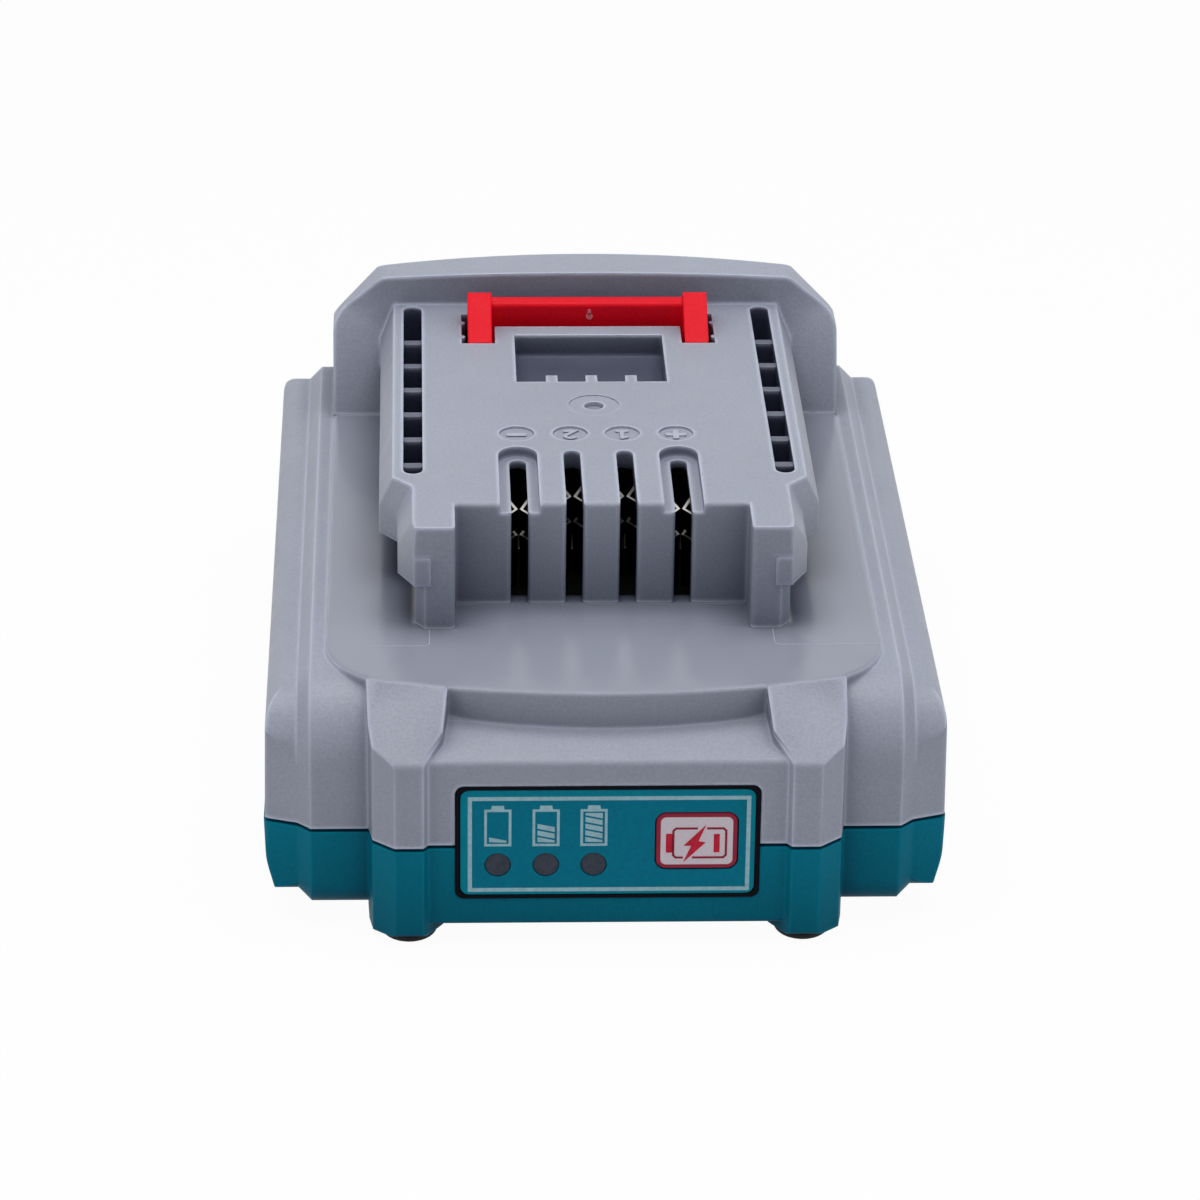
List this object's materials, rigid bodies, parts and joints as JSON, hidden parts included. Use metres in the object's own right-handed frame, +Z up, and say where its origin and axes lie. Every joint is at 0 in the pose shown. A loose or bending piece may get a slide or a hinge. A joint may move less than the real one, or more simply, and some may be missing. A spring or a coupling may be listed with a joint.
{
  "type": "power tool battery pack",
  "caption": "Slide-on battery pack with a rail tower, slotted terminals, spring latch, rear hood and charge display.",
  "frame": {"origin": "centre of the box on the plane that the four feet stand on", "axes": "+X across the pack to the right seen from the charge display, +Y from the charge display towards the hood and thumb pad, +Z up"},
  "size_m": [0.0764, 0.11, 0.0457],
  "materials": {
    "upper_plastic": "fine spark-eroded grain, satin blue-grey",
    "lower_plastic": "fine grain, satin teal",
    "latch_plastic": "smooth satin red",
    "foot_rubber": "dull black rubber",
    "frame_plastic": "polished black",
    "overlay_plastic": "printed teal film, satin",
    "clear_plastic": "frosted clear",
    "button_plastic": "smooth satin white",
    "steel": "zinc plated",
    "spring_steel": "drawn wire",
    "contact_metal": "tinned copper alloy",
    "link_nickel": "rolled nickel",
    "cell_sleeve": "shrink sleeve",
    "holder_plastic": "glass-filled black",
    "board_laminate": "solder mask",
    "component_black": "moulded epoxy"
  },
  "bodies": {
    "pack": {"upper_housing": "upper_plastic", "lower_housing": "lower_plastic", "panel_frame": "frame_plastic", "panel_overlay": "overlay_plastic", "light_guide": "clear_plastic", "tact_switch": "component_black", "indicator_board": "board_laminate", "indicator_leds": "clear_plastic", "cell_1": "cell_sleeve", "cell_2": "cell_sleeve", "cell_3": "cell_sleeve", "cell_4": "cell_sleeve", "cell_5": "cell_sleeve", "cell_holder_left": "holder_plastic", "cell_holder_right": "holder_plastic", "cell_link_1": "link_nickel", "cell_link_2": "link_nickel", "cell_link_3": "link_nickel", "cell_link_4": "link_nickel", "end_link_positive": "link_nickel", "end_link_negative": "link_nickel", "cell_cover": "holder_plastic", "main_board": "board_laminate", "board_screws": "steel", "terminal_block": "holder_plastic", "terminal_1": "contact_metal", "terminal_2": "contact_metal", "terminal_3": "contact_metal", "terminal_4": "contact_metal", "power_transistors": "component_black", "control_chip": "component_black", "buffer_capacitor": "component_black", "shunt_resistor": "contact_metal", "housing_screws": "steel", "rubber_feet": "foot_rubber", "latch_spring_left": "spring_steel", "latch_spring_right": "spring_steel"},
    "latch": {"release_latch": "latch_plastic"},
    "button": {"check_button": "button_plastic", "switch_plunger": "component_black"}
  },
  "joints": [
    {"name": "latch_slide", "type": "slide", "parent": "pack", "child": "latch", "axis": [0, 0, -1], "range_m": [0, 0.0045], "stiffness_N_per_m": 900, "springref_m": -0.003, "deforming": ["latch_spring_left", "latch_spring_right"]},
    {"name": "button_press", "type": "slide", "parent": "pack", "child": "button", "axis": [0, 1, 0], "range_m": [0, 0.0005], "stiffness_N_per_m": 2500, "springref_m": -0.0004}
  ]
}
